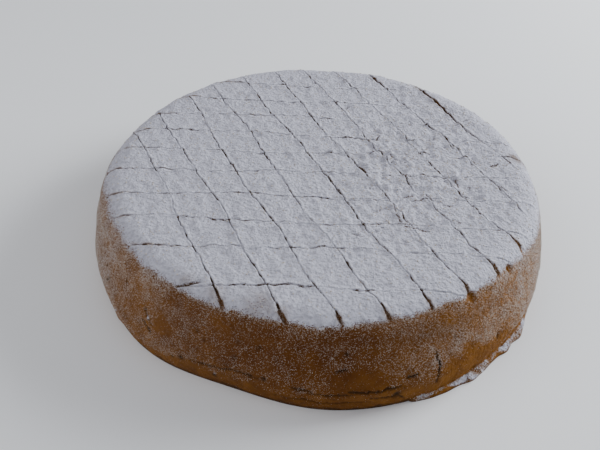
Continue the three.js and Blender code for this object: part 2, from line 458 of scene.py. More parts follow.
STRAY_PIT_HALF_WIDTHS = (0.6, 1.1)
STRAY_PIT_DARKNESS = (0.2, 0.7)
KINK_STEP = 2.2
KINK_SIZE = 0.3
STROKE_SEED = 2

# Stray breaks in the crackled patch mostly follow the two directions of the knife, with crumbs among them
STRAY_BREAKS = 80
STRAY_BREAK_SPREAD = 0.66
STRAY_BREAK_HEADINGS = [-60, -60, 2, 2, -30, 40]
STRAY_BREAK_TURN = 20
STRAY_BREAK_HALF_LENGTHS = (0.8, 3.6)
STRAY_BREAK_KINK = 0.35
STRAY_BREAK_HALF_WIDTH = 0.36
STRAY_BREAK_DEPTH = 0.6
STRAY_BREAK_DARKNESS = 0.6
STRAY_BREAK_DARK_POWER = 1.5
CRUMBS = 150
CRUMB_SPREAD = 0.62
CRUMB_HALF_WIDTHS = (0.7, 2.1)

Stroke = namedtuple("Stroke", "line half_width depth darkness")
Pit = namedtuple("Pit", "spot half_width darkness")


def points_along(line, step):
    """Points every step along a broken line."""
    points = []
    for start, end in zip(line[:-1], line[1:]):
        count = max(2, int(np.linalg.norm(end - start) / step))
        points.append(start + (end - start) * np.linspace(0, 1, count, endpoint=False)[:, None])
    return np.concatenate(points + [line[-1:]])


def jagged(line, draw):
    """A broken line with small kinks every few millimetres, as pastry tears."""
    points = points_along(np.array(line, float), KINK_STEP)
    points[1:-1] += KINK_SIZE * draw.normal(size=points[1:-1].shape)
    return points


def stray_break(draw):
    """A short break at a random place in the crackled patch."""
    middle = CRACKLED_MIDDLE + CRACKLED_REACH * draw.normal(size=2) * STRAY_BREAK_SPREAD
    heading = np.radians(draw.choice(STRAY_BREAK_HEADINGS) + draw.normal() * STRAY_BREAK_TURN)
    half_length = draw.uniform(*STRAY_BREAK_HALF_LENGTHS)
    step = half_length * np.array([np.cos(heading), np.sin(heading)])
    kink = draw.normal(size=2) * STRAY_BREAK_KINK
    darkness = STRAY_BREAK_DARKNESS * draw.uniform(0.0, 1.0) ** STRAY_BREAK_DARK_POWER
    line = np.array([middle - step, middle + kink, middle + step])
    return Stroke(line, STRAY_BREAK_HALF_WIDTH, STRAY_BREAK_DEPTH * (1 + darkness), darkness)


def stray_pit(draw):
    """A small hollow at a random place on the wall."""
    spot = on_wall(draw.uniform(0, 360), draw.uniform(*STRAY_PIT_HEIGHTS))
    return Pit(spot, draw.uniform(*STRAY_PIT_HALF_WIDTHS), draw.uniform(*STRAY_PIT_DARKNESS))


stroke_draw = np.random.default_rng(STROKE_SEED)
strokes = []
for wall_line, half_width, depth, darkness in WALL_STROKES:
    line = jagged([on_wall(*spot) for spot in wall_line], stroke_draw)
    strokes.append(Stroke(line, half_width, depth, darkness))
for top_line in TOP_BREAKS:
    line = jagged(top_line, stroke_draw)
    strokes.append(Stroke(line, TOP_BREAK_HALF_WIDTH, TOP_BREAK_DEPTH, TOP_BREAK_DARKNESS))
strokes.append(Stroke(np.array(TORN_SPOT), TORN_SPOT_HALF_WIDTH, TORN_SPOT_DEPTH, TORN_SPOT_DARKNESS))
strokes.append(
    Stroke(np.array(KNIFE_ENTRY), KNIFE_ENTRY_HALF_WIDTH, KNIFE_ENTRY_DEPTH, KNIFE_ENTRY_DARKNESS))
strokes += [stray_break(stroke_draw) for _ in range(STRAY_BREAKS)]
crumb_spots = CRACKLED_MIDDLE + CRACKLED_REACH * stroke_draw.normal(size=(CRUMBS, 2)) * CRUMB_SPREAD
crumb_half_widths = stroke_draw.uniform(*CRUMB_HALF_WIDTHS, CRUMBS)
pits = [Pit(on_wall(direction, level), half, darkness) for direction, level, half, darkness in WALL_PITS]
pits += [stray_pit(stroke_draw) for _ in range(STRAY_PITS)]


def from_line(line, spots):
    """Distance of spots from a broken line, and the share of its length at the nearest place."""
    lengths = np.linalg.norm(np.diff(line, axis=0), axis=1)
    gap = np.full(len(spots), np.inf)
    share = np.zeros(len(spots))
    before = 0
    for start, end, length in zip(line[:-1], line[1:], lengths):
        along = np.clip((spots - start) @ (end - start) / length**2, 0, 1)
        distance = np.linalg.norm(spots - start - along[:, None] * (end - start), axis=1)
        closer = distance < gap
        gap[closer] = distance[closer]
        share[closer] = (before + along[closer] * length) / lengths.sum()
        before += length
    return gap, share


# Points of the skin: an even scatter, with rows along each cut and stroke and more in the crackled patch
POINT_SPACING = 1.35
ROW_SPACING = POINT_SPACING * np.sqrt(0.75)
POINT_JITTER = 0.3
SCATTER_SEED = 1
RIM_POINTS = 720
CUT_CLEARANCE = 1.75
CUT_ROWS_END = 11.5
CUT_POINT_STEP = 0.9
CUT_POINT_SIDES = (-1.3, -0.78, -0.34, 0, 0.34, 0.78, 1.3)
OPEN_POINT_SIDES = (-1.9, -1.2, -0.6, 0, 0.6, 1.2, 1.9)
STROKE_CLEARANCE = 0.6
STROKE_POINT_STEP = 0.8
PATCH_POINTS = 7000
PATCH_SPREAD = 0.6
MERGE_DISTANCE = 1e-4


def unrolled(x, y):
    """Places in the flat disc of points seen from above, and their run past the flat top."""
    turn = np.arctan2(y, x)
    past = np.hypot(x, y) - flat_edge(turn)
    run = np.where(past > 0, SHOULDER * np.arcsin(np.clip(past / SHOULDER, 0, 1)), past)
    spread = (run + flat_edge(turn)) / np.hypot(x, y)
    return np.stack([x * spread, y * spread], 1), run


scatter = np.random.default_rng(SCATTER_SEED)
reach = WALL_TOP_RADIUS + SHOULDER_RUN + WALL_RUN + LIP_RUN + LIP_SIDE_RUN
columns = np.arange(-reach, reach, POINT_SPACING)
rows = np.arange(-reach, reach, ROW_SPACING)
even_points = np.stack(np.meshgrid(columns, rows), -1)
even_points[1::2, :, 0] += POINT_SPACING / 2
even_points = even_points.reshape(-1, 2)
even_points = even_points + scatter.uniform(-POINT_JITTER, POINT_JITTER, even_points.shape) * POINT_SPACING
skin, _, run = fold_down(even_points)
nearest_cut = np.min([np.abs(from_cut(cut, skin[:, 0], skin[:, 1])[0]) for cut in cuts], 0)
free = (run < SKIN_RUN - POINT_SPACING / 2) & ((nearest_cut > CUT_CLEARANCE) | (run > CUT_ROWS_END))
for stroke in strokes:
    free &= from_line(stroke.line, even_points)[0] > STROKE_CLEARANCE

cut_points = []
for cut in cuts:
    half_length = np.sqrt(WALL_TOP_RADIUS**2 - cut.offset**2)
    along = np.arange(-half_length, half_length, CUT_POINT_STEP)
    for side in OPEN_POINT_SIDES if cut is open_cut else CUT_POINT_SIDES:
        row, run = unrolled(*beside_cut(cut, cut.offset + wander(along, cut) + side, along))
        cut_points.append(row[run < CUT_ROWS_END])

edge_angles = np.arange(RIM_POINTS) / RIM_POINTS * 2 * pi
edge_radius = flat_edge(edge_angles) + SKIN_RUN
edge = np.stack([edge_radius * np.cos(edge_angles), edge_radius * np.sin(edge_angles)], 1)

patch_spread = CRACKLED_REACH * PATCH_SPREAD
stroke_points = [CRACKLED_MIDDLE + patch_spread * stroke_draw.normal(size=(PATCH_POINTS, 2))]
for stroke in strokes:
    spine = points_along(stroke.line, STROKE_POINT_STEP)
    stroke_points.append(spine)
    stroke_points.append(spine + stroke.half_width * stroke_draw.normal(size=spine.shape))

disc = np.concatenate([edge, even_points[free]] + cut_points + stroke_points)
points, _, triangles, _, _, _ = delaunay_2d_cdt([Vector(spot) for spot in disc], [], [], 0, MERGE_DISTANCE)
disc = np.array([tuple(point) for point in points])
triangles = np.array(triangles)
skin, angle, run = fold_down(disc)
x, y, height = skin.T


def vertex_normals(places, faces):
    """Outward direction at each point, as the mean of the faces round it."""
    a, b, c = (places[faces[:, corner]] for corner in range(3))
    face_normals = np.cross(b - a, c - a)
    normals = np.zeros_like(places)
    for corner in range(3):
        np.add.at(normals, faces[:, corner], face_normals)
    return normals / np.linalg.norm(normals, axis=1, keepdims=True)


def ripple(size, seed):
    """Smooth noise from -1 to 1 over the skin with lumps of a size."""
    return lumps(disc[:, 0], disc[:, 1], size, seed)


def layered(layers):
    """Sum of noise over the skin, each layer with a depth, a lump size and a seed."""
    return sum(depth * ripple(size, seed) for depth, size, seed in layers)


def banded(level, bands):
    """A level with more or less of it round the pie, each band with an amount, a direction and a spread."""
    for amount, direction, spread in bands:
        level = level + amount * bell(turn_from(angle, direction), spread)
    return level


def distance_to(spot):
    """Distance of the skin's points from a spot in the flat disc."""
    return np.linalg.norm(disc - spot, axis=1)


# Relief of the skin, as a rise in millimetres along its normal
FRONT = 268
FRONT_SPREAD = 80
FRONT_SQUARENESS = 6
SUGAR_EDGE_FRONT = 10.8
SUGAR_EDGE_BACK = 16
SUGAR_EDGE_BANDS = [(5, 342, 16)]
SUGAR_EDGE_STEP = 1.5
TOP_SWELLS = [(0.5, 38, 11)]
POWDER_RELIEF = [(0.35, 6, 12), (0.55, 3, 13), (0.25, 1.9, 19)]
CALM_SHARE = 0.5
CALM_BETWEEN = (-5, 6)
WALL_RELIEF = [(0.5, 13, 14), (0.16, 3, 15)]
FOOT_RELIEF = [(0.4, 3.6, 44)]
FOOT_BETWEEN = (4, 13)

front = bell(turn_from(angle, FRONT), FRONT_SPREAD, FRONT_SQUARENESS)
sugar_edge = banded(SUGAR_EDGE_BACK + (SUGAR_EDGE_FRONT - SUGAR_EDGE_BACK) * front, SUGAR_EDGE_BANDS)
on_top = 1 - smooth(run, sugar_edge - SUGAR_EDGE_STEP, sugar_edge + SUGAR_EDGE_STEP)
calm = 1 - CALM_SHARE * smooth(run, *CALM_BETWEEN)
near_foot = 1 - smooth(height, *FOOT_BETWEEN)
rise = on_top * (layered(TOP_SWELLS) + calm * layered(POWDER_RELIEF))
rise += (1 - on_top) * (layered(WALL_RELIEF) + near_foot * layered(FOOT_RELIEF))

# Crackled patch on the right of the top, where the crust broke under the knife
PLATES = (9, 17)
PLATE_HEIGHT = 0.45
PLATE_STEEPNESS = 5
CRACKS = (8, 16)
CRACK_LEVELS = (0.02, 0.14)
CRACK_DEPTH = 0.6
BROKEN_RELIEF = [(0.3, 5.5, 20), (0.45, 3, 18)]
CRUMB_HEIGHT = 0.5
CRUMB_FLATNESS = 4
# Painted highlight of whiter sugar along the steps between the plates, standing in for light that catches
# them
HIGHLIGHT_PLATE_LEVEL = 0.1
HIGHLIGHT_PLATE_SPREAD = 0.08
HIGHLIGHT_PLATE_SHARE = 0.6

patch = crackled(x, y) * on_top
plates = ripple(*PLATES)
cracks = 1 - smooth(np.abs(ripple(*CRACKS)), *CRACK_LEVELS)
broken = PLATE_HEIGHT * np.tanh(PLATE_STEEPNESS * plates) + layered(BROKEN_RELIEF) - CRACK_DEPTH * cracks
rise += patch * broken
for spot, half_width in zip(crumb_spots, crumb_half_widths):
    rise += CRUMB_HEIGHT * half_width * bell(distance_to(spot), half_width, CRUMB_FLATNESS) * on_top
# Painted highlight along the steps between the plates
painted_highlight = HIGHLIGHT_PLATE_SHARE * patch * bell(plates - HIGHLIGHT_PLATE_LEVEL, HIGHLIGHT_PLATE_SPREAD)

# The cuts go into the relief as valleys with banks of pushed-up sugar
# Scorch is dark baked crust, bare is without sugar, stain is browned sugar; banks get a painted highlight
CUT_DEPTH = 1.4
CUT_SHALLOWEST = 0.25
GAPING_DEPTH = 0.6
NOTCH_FILL = 0.4
CUT_HALF_WIDTH = 0.28
GAPE_WIDTH = 0.14
WIDTH_UNEVEN = (0.3, 1.5, 9)
NOTCH_WIDTH = 0.5
GAPING_WIDTH = 0.55
CUT_FADE = 1.0
NOTCH_BETWEEN = (2, 8)
OPEN_TAPER = (-30, 42)
TORN_TAPER = (60, 76)
BANK_OUT = 0.42
BANK_SPREAD = 0.36
BANK_HEIGHT = 0.4
BANK_LEAN = 0.3
BANK_UNEVEN = (0.6, 2.4, 13)
OPENED_GAPE = (0.15, 0.75)
OPENED_VALLEY = 0.5
OPENED_WIDER = 0.35
NOTCH_SUGAR = 0.3
CUT_SCORCH = 0.9
NOTCH_PALER = 0.6
LIT_PALER = 0.6
LIT_FLANK_VALLEY = (0.45, 0.8)
LIT_END_BETWEEN = (3, 9)
STAIN_REACH = 0.9
STAIN_SHARE = 0.5
SCRAPE_FROM = (-6, 1)
SCRAPE_TO = (-4, -1)
SCRAPE_SPREAD = 0.75
SCRAPE_PATH = (0.5, 5, 17)
SCRAPE_STAIN = 0.62
SCRAPE_UNEVEN = (0.55, 2.6, 19)

from_cuts = [from_cut(cut, x, y) for cut in cuts]
nearest_slanted = np.min([np.abs(across) for across, _ in from_cuts[:len(slanted_cuts)]], 0)
nearest_cross = np.min([np.abs(across) for across, _ in from_cuts[len(slanted_cuts):]], 0)
fade = 1 - smooth(run, sugar_edge - CUT_FADE, sugar_edge + CUT_FADE)
scraped = smooth(run, *SCRAPE_FROM) * (1 - smooth(run - sugar_edge, *SCRAPE_TO))
scorch, bare, stain = np.zeros((3, len(disc)))
for cut, (across, along) in zip(cuts, from_cuts):
    gape = openness(cut, along, nearest_cross if cut.slanted else nearest_slanted, x, y, run)
    notch = smooth(run, *NOTCH_BETWEEN) * over_near_rim(x, y) * cut.slanted
    gaping = 0
    if cut is open_cut:
        gaping = smooth(along, *OPEN_TAPER)
    if cut is torn_cut:
        gaping = smooth(along, *TORN_TAPER)

    half_width = (CUT_HALF_WIDTH + GAPE_WIDTH * gape) * (1 + uneven(cut, along, *WIDTH_UNEVEN))
    half_width = half_width + NOTCH_WIDTH * notch + GAPING_WIDTH * gaping
    valley = np.clip(1 - np.abs(across) / half_width, 0, 1) * fade
    banks = bell(np.abs(across) - half_width - BANK_OUT, BANK_SPREAD) * fade
    banks = banks * (1 + BANK_LEAN * np.sign(across)) * (1 + uneven(cut, along, *BANK_UNEVEN))
    depth = CUT_SHALLOWEST + (1 - CUT_SHALLOWEST) * gape + GAPING_DEPTH * gaping - NOTCH_FILL * notch
    rise += BANK_HEIGHT * banks * (1 + gape) / 2 - CUT_DEPTH * depth * valley
    # Painted highlight on the banks beside the cut, standing in for light on their raised edges, more where
    # it gapes
    painted_highlight = np.maximum(painted_highlight, banks * (CUT_SHALLOWEST + (1 - CUT_SHALLOWEST) * gape))

    opened = smooth(valley, 0.0, OPENED_VALLEY - OPENED_WIDER * np.maximum(gaping, notch))
    opened = opened * smooth(gape, *OPENED_GAPE)
    bare = np.maximum(bare, opened * (1 - NOTCH_SUGAR * notch))
    lit_flank = gaping * (1 - smooth(valley, *LIT_FLANK_VALLEY)) * (across > 0)
    lit_end = gaping * smooth(run, *LIT_END_BETWEEN)
    paler = NOTCH_PALER * notch + LIT_PALER * np.maximum(lit_flank, lit_end)
    scorch = np.maximum(scorch, opened * (CUT_SCORCH - paler))
    beside = bell(np.maximum(np.abs(across) - half_width, 0), STAIN_REACH) * fade * gape
    stain = np.maximum(stain, beside * STAIN_SHARE * np.maximum(notch, gaping))
    if not cut.slanted and cut is not scuffed_cut:
        scrape = bell(across - uneven(cut, along, *SCRAPE_PATH), SCRAPE_SPREAD) * scraped * (x < 0)
        stain = np.maximum(stain, scrape * np.clip(SCRAPE_STAIN + uneven(cut, along, *SCRAPE_UNEVEN), 0, 1))

# The strokes run out at both ends, and the pits are round hollows
STROKE_ENDS = (0.06, 0.94)
STROKE_SHADE = (0.05, 0.6)
PIT_STEEPNESS = 0.7
PIT_DEEPEST_WIDTH = 1.2

for line, half_width, depth, darkness in strokes:
    gap, share = from_line(line, disc)
    valley = np.clip(1 - gap / half_width, 0, 1) * np.sqrt(np.sin(pi * np.clip(share, *STROKE_ENDS)))
    rise -= depth * valley
    shade = darkness * smooth(valley, *STROKE_SHADE)
    scorch = np.maximum(scorch, shade)
    bare = np.maximum(bare, shade)
for spot, half_width, darkness in pits:
    hollow = bell(distance_to(spot), half_width)
    rise -= PIT_STEEPNESS * min(half_width, PIT_DEEPEST_WIDTH) * hollow
    scorch = np.maximum(scorch, darkness * hollow)
    bare = np.maximum(bare, hollow)

# Chips out of the rim, bare down to the golden crust, each with a direction, a run and a half width
CHIPS = [(309.3, 12.4, 2.5), (324.2, 13.6, 2.2)]
CHIP_DEPTH = 1.5
SPOT_EDGE = [(0.25, 2, 28)]
SPOT_FLATNESS = 4


def ragged_spot(spot, half_width):
    """Share of a small spot with a ragged edge, 1 inside it."""
    return bell(distance_to(spot) / half_width + layered(SPOT_EDGE), 1, SPOT_FLATNESS)


chip = np.zeros(len(disc))
for direction, chip_run, half_width in CHIPS:
    chip = np.maximum(chip, ragged_spot(in_disc(direction, chip_run), half_width))
rise -= CHIP_DEPTH * chip

# Dust on the wall, thicker at the two sides, thin near the foot and rubbed off in patches
# Each bare patch has a direction, a height, a half length and a half height
DUST_LEVEL = 0.42
DUST_BANDS = [(0.78, 200, 32), (1.2, 350, 34), (0.75, 196, 13)]
EDGE_DUST = 0.3
EDGE_DUST_SPREAD = 4
LOW_DUST_LOSS = 0.28
LOW_DUST_BETWEEN = (5, 15)
DRIFT = 0.5
DRIFT_DIRECTION = 306
DRIFT_SPREAD = 14
DRIFT_HEIGHT = 24
DRIFT_HALF_HEIGHT = 7
DUST_CLOUDS = [(0.16, 15, 21), (0.2, 5, 22)]
CLOUDY_BANDS = [(0.9, 218, 26), (0.7, 325, 18)]
BARE_PATCHES = [
    (280, 20, 15, 6), (304, 12, 15, 12), (309, 10, 26, 8), (328, 7, 22, 5), (236, 26, 5, 5),
    (250, 5, 40, 6.5), (287, 8, 30, 8),
]
BARE_PATCH_DUST = 0.1
BARE_PATCH_EDGE = (0.82, 1.18)
BARE_PATCH_WAVES = [(0.3, 8, 23)]
FOOT_DUST = 0.2
FOOT_DUST_BETWEEN = (3.5, 9.5)
FOOT_DUST_WAVES = [(2, 9, 46)]
DUST_LIMITS = (0.02, 1.4)
VEIL_BANDS = [(0.03, 228, 24)]
VEIL_SHARE = 0.04
VEIL_FROM = 0.5

dust = banded(DUST_LEVEL, DUST_BANDS)
dust += EDGE_DUST * bell(run - sugar_edge, EDGE_DUST_SPREAD)
dust -= LOW_DUST_LOSS * (1 - smooth(height, *LOW_DUST_BETWEEN))
drift = bell(turn_from(angle, DRIFT_DIRECTION), DRIFT_SPREAD)
dust += DRIFT * (drift * bell(height - DRIFT_HEIGHT, DRIFT_HALF_HEIGHT))
dust += banded(1, CLOUDY_BANDS) * layered(DUST_CLOUDS)
for direction, level, half_length, half_height in BARE_PATCHES:
    sideways = np.radians(turn_from(angle, direction)) * BASE_RADIUS / half_length
    upward = (height - level) / half_height
    outside = smooth(np.hypot(sideways, upward) + layered(BARE_PATCH_WAVES), *BARE_PATCH_EDGE)
    dust *= BARE_PATCH_DUST + (1 - BARE_PATCH_DUST) * outside
dust *= FOOT_DUST + (1 - FOOT_DUST) * smooth(height + layered(FOOT_DUST_WAVES), *FOOT_DUST_BETWEEN)
dust = np.clip(dust, *DUST_LIMITS) * (1 - chip)
veil = banded(VEIL_SHARE * np.clip(dust - VEIL_FROM, 0, 1), VEIL_BANDS)

# Cover of powder on the top, worn thin in places along the rim, each with a place, a reach and a wear
THICK_COVER = 1.1
COVER_WAVES = [(1.2, 9, 24), (0.8, 2.5, 25)]
COVER_INSIDE = 2.6
COVER_OUTSIDE = 3.4
SOFT_EDGE_BANDS = [(1.8, 200, 22), (1.2, 342, 22)]
THIN_SPOTS = [
    (-25.6, -107.8, 7, 0.58), (114, 19.4, 4.4, 1.0), (-60, -96, 4, 0.5), (-15, -110.5, 3, 0.7),
    (-46, -102, 4.5, 0.5),
]
THIN_SPOT_WEAR = 0.3
THIN_SPOT_STAIN = 0.7
THIN_SPOT_GRAIN = [(0.5, 2.5, 29)]

soft_edge = banded(1, SOFT_EDGE_BANDS)
cover_edge = (sugar_edge - COVER_INSIDE * soft_edge, sugar_edge + COVER_OUTSIDE * soft_edge)
top_cover = (1 - smooth(run + layered(COVER_WAVES), *cover_edge)) * (1 - chip)
for spot_x, spot_y, spot_reach, worn in THIN_SPOTS:
    smudge = worn * bell(np.hypot(x - spot_x, y - spot_y), spot_reach)
    top_cover *= 1 - THIN_SPOT_WEAR * smudge
    stain = np.maximum(stain, smudge * (THIN_SPOT_STAIN + layered(THIN_SPOT_GRAIN)))

# Sugar caught on the lip, with two gaps, and in lumps on the wall
# Each lump has a direction, a height and a half width
LIP_REACH_BETWEEN = (0.8, 2.2)
LIP_RELIEF = [(0.5, 4, 42)]
LIP_SUGAR_RUN = 5.0
LIP_SUGAR_GAPS = [(-3.2, 300.5, 3), (-3.2, 316.5, 2)]
LIP_SUGAR_STEP = 0.6
LIP_SUGAR_WAVES = [(1.5, 7, 27)]
LIP_SUGAR_COVER = 0.65
LIP_SUGAR_GRAIN = [(0.5, 4, 26)]
WALL_COVER = 0.27
WALL_COVER_POWER = 1.45
SUGAR_LUMPS = [(231.4, 26.4, 1.1), (220.3, 13.2, 1.3), (248.8, 10.8, 0.7)]
SUGAR_LUMP_HEIGHT = 0.8

lip_run = run - SHOULDER_RUN - WALL_RUN
on_lip = smooth(lip_run, 0, 1) * smooth(lip_reach(angle), *LIP_REACH_BETWEEN)
rise += on_lip * layered(LIP_RELIEF)
lip_end = banded(LIP_SUGAR_RUN, LIP_SUGAR_GAPS)
past_end = smooth(lip_run + layered(LIP_SUGAR_WAVES), lip_end - LIP_SUGAR_STEP, lip_end + LIP_SUGAR_STEP)
lip_dust = on_lip * (1 - past_end) * (LIP_SUGAR_COVER + layered(LIP_SUGAR_GRAIN))
wall_cover = WALL_COVER * dust**WALL_COVER_POWER * (1 - on_lip)
sugar = np.maximum(THICK_COVER * top_cover, np.maximum(wall_cover, lip_dust))
sugar = np.clip(sugar, 0, THICK_COVER) * (1 - bare)
for direction, level, half_width in SUGAR_LUMPS:
    lump = ragged_spot(on_wall(direction, level), half_width)
    rise += SUGAR_LUMP_HEIGHT * lump
    sugar = np.maximum(sugar, THICK_COVER * lump)

# Tone of the crust: golden at the sides and the foot, and browner at the front
# The cracks in the wall are burnt, and its bottom edge is scorched
BURNT_BETWEEN = (1, 4)
GOLDEN_LEVEL = 0.4
GOLDEN_BANDS = [(0.6, 325, 36), (0.4, 205, 28), (0.12, 235, 16)]
BROWN_FRONT = 0.24
BROWN_FRONT_SPREAD = 34
BROWN_FRONT_BETWEEN = (12, 36)
GOLDEN_FOOT = 0.3
GOLDEN_FOOT_BETWEEN = (6, 20)
GOLDEN_BLOTCHES = [(0.16, 22, 31), (0.12, 6, 32)]
GOLDEN_CHIP = 0.4
BOTTOM_EDGE = 1.4
BOTTOM_EDGE_STEP = 0.8
BOTTOM_EDGE_WAVES = [(0.8, 7, 33)]
BOTTOM_EDGE_SCORCH = 0.75
LIP_SCORCH_LOSS = 0.4

burnt = scorch * smooth(run - sugar_edge, *BURNT_BETWEEN)
brown_front = bell(turn_from(angle, FRONT), BROWN_FRONT_SPREAD) * smooth(height, *BROWN_FRONT_BETWEEN)
golden_foot = 1 - smooth(height, *GOLDEN_FOOT_BETWEEN)
golden = banded(GOLDEN_LEVEL, GOLDEN_BANDS) + layered(GOLDEN_BLOTCHES)
golden += GOLDEN_FOOT * golden_foot + GOLDEN_CHIP * chip - BROWN_FRONT * brown_front
golden = np.clip(golden, 0, 1)
bottom_edge = BOTTOM_EDGE + layered(BOTTOM_EDGE_WAVES)
below_edge = 1 - smooth(height, bottom_edge - BOTTOM_EDGE_STEP, bottom_edge + BOTTOM_EDGE_STEP)
scorch = np.maximum(scorch, BOTTOM_EDGE_SCORCH * below_edge * (1 - LIP_SCORCH_LOSS * on_lip))

# The relief ends at the foot, and the flat underside closes the round
RELIEF_END = (2.5, 0.5)
RIM_TOLERANCE = 1e-3

outward = vertex_normals(skin, triangles)
at_foot = smooth(run, SKIN_RUN - RELIEF_END[0], SKIN_RUN - RELIEF_END[1])
places = skin + outward * (rise * (1 - at_foot))[:, None]
places[:, :2] -= outline_middle
places[:, 2] = np.maximum(places[:, 2], 0)
rim = np.where(run > SKIN_RUN - RIM_TOLERANCE)[0]
rim = rim[np.argsort(np.arctan2(disc[rim, 1], disc[rim, 0]))]
places[rim, 2] = 0
under_middle = len(places)
places = np.vstack([places, [[-outline_middle[0], -outline_middle[1], 0]]])
underside = np.stack([np.roll(rim, -1), rim, np.full(len(rim), under_middle)], 1)
faces = np.vstack([triangles, underside])


def mesh_piece(name, places, faces, smooth_faces=True):
    """Object from places in millimetres and triangles."""
    mesh = bpy.data.meshes.new(name)
    mesh.from_pydata((places * MM).tolist(), [], faces.tolist())
    mesh.polygons.foreach_set("use_smooth", [smooth_faces] * len(mesh.polygons))
    mesh.update()
    piece = bpy.data.objects.new(name, mesh)
    bpy.context.collection.objects.link(piece)
    return piece


def paint_by(piece, name, values):
    """Stores a value for each point of the skin, and 0 for the middle of the underside, for the material."""
    layer = piece.data.attributes.new(name, "FLOAT", "POINT")
    layer.data.foreach_set("value", np.append(values, 0.0))


pie = mesh_piece("sugared_pie", places, faces)
paint_by(pie, "sugar", sugar)
paint_by(pie, "stain", np.clip(stain, 0, 1))
paint_by(pie, "painted_highlight", np.clip(painted_highlight, 0, 1))
paint_by(pie, "golden", golden)
paint_by(pie, "veil", veil)
paint_by(pie, "scorch", scorch)
paint_by(pie, "burnt", burnt)

# Colours of the crust and its sugar, with noise given by its number of spots to the metre
SUGAR_COLOUR = (0.64, 0.63, 0.72, 1)
# Sugar where the bump noise is low, partly its own mottling and partly painted shade in the hollows
SUGAR_MOTTLE_AND_SHADE = (0.49, 0.48, 0.555, 1)
# Whiter sugar for the painted highlights on the banks of the cuts and the steps between the plates
PAINTED_HIGHLIGHT_SUGAR = (0.8, 0.79, 0.88, 1)
THIN_SUGAR = (0.59, 0.51, 0.45, 1)
STAIN_COLOUR = (0.22, 0.145, 0.085, 1)
DARK_CRUST = (0.09, 0.027, 0.006, 1)
GOLDEN_CRUST = (0.25, 0.098, 0.013, 1)
CUT_COLOUR = (0.052, 0.033, 0.02, 1)
BURNT_COLOUR = (0.016, 0.0075, 0.003, 1)
DUST_GRAINS = 3300
DUST_GRAIN_EDGE = (-0.05, 0.05)
POWDER_CLOUDS = 560
POWDER_CLOUD_ROUGHNESS = 0.62
POWDER_MOTTLE_AND_SHADE_LEVELS = (0.32, 0.6)
CRUST_BLOTCHES = 160
CRUST_BLOTCH_DETAIL = 4.0
CRUST_BLOTCH_LEVELS = (0.35, 0.7)
CRUST_BLOTCH_SHARE = 0.45
THIN_SUGAR_LEVELS = (0.3, 0.8)
SEE_THROUGH_LEVELS = (0.2, 0.6)
SEE_THROUGH_COVER = 0.6
CRUST_ROUGHNESS = 0.8
POWDER_ROUGHNESS = 0.95
CRUST_SPECULAR = 0.08
GRAIN_RELIEF = 0.4
BUMP_STRENGTH = 1.0
BUMP_DISTANCE = 0.0025
MIX_SOCKETS = (0, 6, 7)
MIX_RESULT = 2


def plug(tree, value, socket):
    """Gives a socket another node's output or a plain value."""
    if isinstance(value, bpy.types.NodeSocket):
        tree.links.new(value, socket)
    else:
        socket.default_value = value


def noise_of(tree, scale, detail=3.0, roughness=0.6):
    """Cloudy noise from 0 to 1."""
    noise = tree.nodes.new("ShaderNodeTexNoise")
    noise.inputs["Scale"].default_value = scale
    noise.inputs["Detail"].default_value = detail
    noise.inputs["Roughness"].default_value = roughness
    place = tree.nodes.new("ShaderNodeTexCoord")
    tree.links.new(place.outputs["Object"], noise.inputs["Vector"])
    return noise.outputs["Fac"]


def cells_of(tree, scale):
    """A chance from 0 to 1 for each small cell, as for grains that lie or do not lie there."""
    cells = tree.nodes.new("ShaderNodeTexVoronoi")
    cells.inputs["Scale"].default_value = scale
    place = tree.nodes.new("ShaderNodeTexCoord")
    tree.links.new(place.outputs["Object"], cells.inputs["Vector"])
    part = tree.nodes.new("ShaderNodeSeparateColor")
    tree.links.new(cells.outputs["Color"], part.inputs["Color"])
    return part.outputs["Red"]


def stored(tree, name):
    """Value painted on the points of the mesh."""
    reader = tree.nodes.new("ShaderNodeAttribute")
    reader.attribute_name = name
    return reader.outputs["Fac"]


def mixed(tree, share, first, second):
    """Colour between a first and a second one, by the numbers of the mixing node's colour sockets."""
    mix = tree.nodes.new("ShaderNodeMix")
    mix.data_type = "RGBA"
    for index, value in zip(MIX_SOCKETS, (share, first, second)):
        plug(tree, value, mix.inputs[index])
    return mix.outputs[MIX_RESULT]


def ranged(tree, value, between=(0, 1), to=(0, 1), kind="LINEAR"):
    """Value between two levels, spread over a new range."""
    levels = tree.nodes.new("ShaderNodeMapRange")
    levels.interpolation_type = kind
    levels.inputs["From Min"].default_value, levels.inputs["From Max"].default_value = between
    levels.inputs["To Min"].default_value, levels.inputs["To Max"].default_value = to
    tree.links.new(value, levels.inputs["Value"])
    return levels.outputs["Result"]


def stepped(tree, value, between):
    """Gentle step from 0 to 1 between two levels."""
    return ranged(tree, value, between, kind="SMOOTHSTEP")


def sums(tree, operation, first, second):
    """Two values added, subtracted or multiplied."""
    maths = tree.nodes.new("ShaderNodeMath")
    maths.operation = operation
    plug(tree, first, maths.inputs[0])
    plug(tree, second, maths.inputs[1])
    return maths.outputs[0]


def crust_tone(tree):
    """Colour of the baked crust, blotchy, dulled by fine dust and dark in its cuts and cracks."""
    crust = mixed(tree, stored(tree, "golden"), DARK_CRUST, GOLDEN_CRUST)
    blotches = stepped(tree, noise_of(tree, CRUST_BLOTCHES, CRUST_BLOTCH_DETAIL), CRUST_BLOTCH_LEVELS)
    crust = mixed(tree, sums(tree, "MULTIPLY", blotches, CRUST_BLOTCH_SHARE), crust, DARK_CRUST)
    crust = mixed(tree, stored(tree, "veil"), crust, THIN_SUGAR)
    crust = mixed(tree, stored(tree, "scorch"), crust, CUT_COLOUR)
    return mixed(tree, stored(tree, "burnt"), crust, BURNT_COLOUR)


